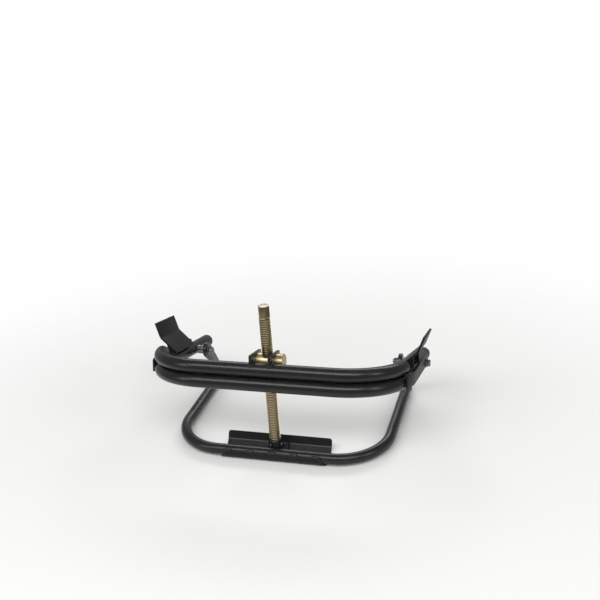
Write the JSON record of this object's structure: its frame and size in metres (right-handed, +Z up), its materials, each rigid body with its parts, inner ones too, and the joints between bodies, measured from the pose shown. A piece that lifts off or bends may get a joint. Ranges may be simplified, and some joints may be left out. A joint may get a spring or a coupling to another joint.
{
  "type": "clamp-on wheel lifter",
  "caption": "Clamp-on wheel lifter: two bent-tube frames hinged behind a tyre and spread apart in front by a hexagon-headed lifting screw in a swivelling barrel nut.",
  "frame": {"origin": "on the ground, at the middle of the foot pan's flat floor", "axes": "+X along the crossbars to the user's right, +Y away from the user along the arms, +Z up"},
  "size_m": [0.6538, 0.3944, 0.3681],
  "materials": {
    "black_coat": "satin black powder coat",
    "yellow_zinc": "yellow zinc plating",
    "bright_zinc": "bright zinc plating",
    "dark_steel": "oiled dark steel",
    "plug_plastic": "matt black moulded plastic"
  },
  "bodies": {
    "lower_frame": {"lower_tube": "black_coat", "foot_pan": "black_coat", "screw_socket": "black_coat", "cheek_left": "black_coat", "cheek_right": "black_coat", "lug_left": "black_coat", "lug_right": "black_coat", "lower_end_caps": "black_coat"},
    "upper_frame": {"upper_tube_top": "black_coat", "upper_tube_bottom": "black_coat", "ear_left": "black_coat", "ear_right": "black_coat", "side_plate_left": "black_coat", "side_plate_right": "black_coat", "pad_left": "black_coat", "pad_right": "black_coat", "pad_gussets_left": "black_coat", "pad_gussets_right": "black_coat", "top_tube_plugs": "plug_plastic", "bottom_tube_plugs": "plug_plastic", "hinge_bolts": "bright_zinc", "hinge_spacers": "bright_zinc", "hinge_inner_washers": "bright_zinc", "hinge_outer_washers": "bright_zinc", "hinge_nuts": "bright_zinc"},
    "trunnion": {"trunnion_nut": "yellow_zinc"},
    "shoe": {"thrust_shoe": "dark_steel", "shoe_pin": "bright_zinc"},
    "screw": {"lift_screw": "yellow_zinc"}
  },
  "joints": [
    {"name": "frame_hinge", "type": "hinge", "parent": "lower_frame", "child": "upper_frame", "pos_m": [0, 0.24755, 0.12591], "axis": [1, 0, 0], "range_deg": [-12, 12]},
    {"name": "trunnion_tilt", "type": "hinge", "parent": "upper_frame", "child": "trunnion", "pos_m": [0, 0.01385, 0.23511], "axis": [1, 0, 0], "range_deg": [-6.5, 6.5]},
    {"name": "screw_travel", "type": "slide", "parent": "trunnion", "child": "shoe", "axis": [0, 0.0411, 0.9992], "range_m": [-0.0498, 0.0498]},
    {"name": "screw_spin", "type": "hinge", "parent": "shoe", "child": "screw", "pos_m": [0, 0.005, 0.0199], "axis": [0, 0.0411, 0.9992], "range_deg": [-4230, 4230]}
  ],
  "couplings": [
    {"joint": "screw_travel", "follows": "screw_spin", "m_per_rad": 0.0006737},
    {"joint": "frame_hinge", "follows": "screw_spin", "ratio": 0.002836},
    {"joint": "trunnion_tilt", "follows": "screw_spin", "ratio": -0.0015315}
  ]
}
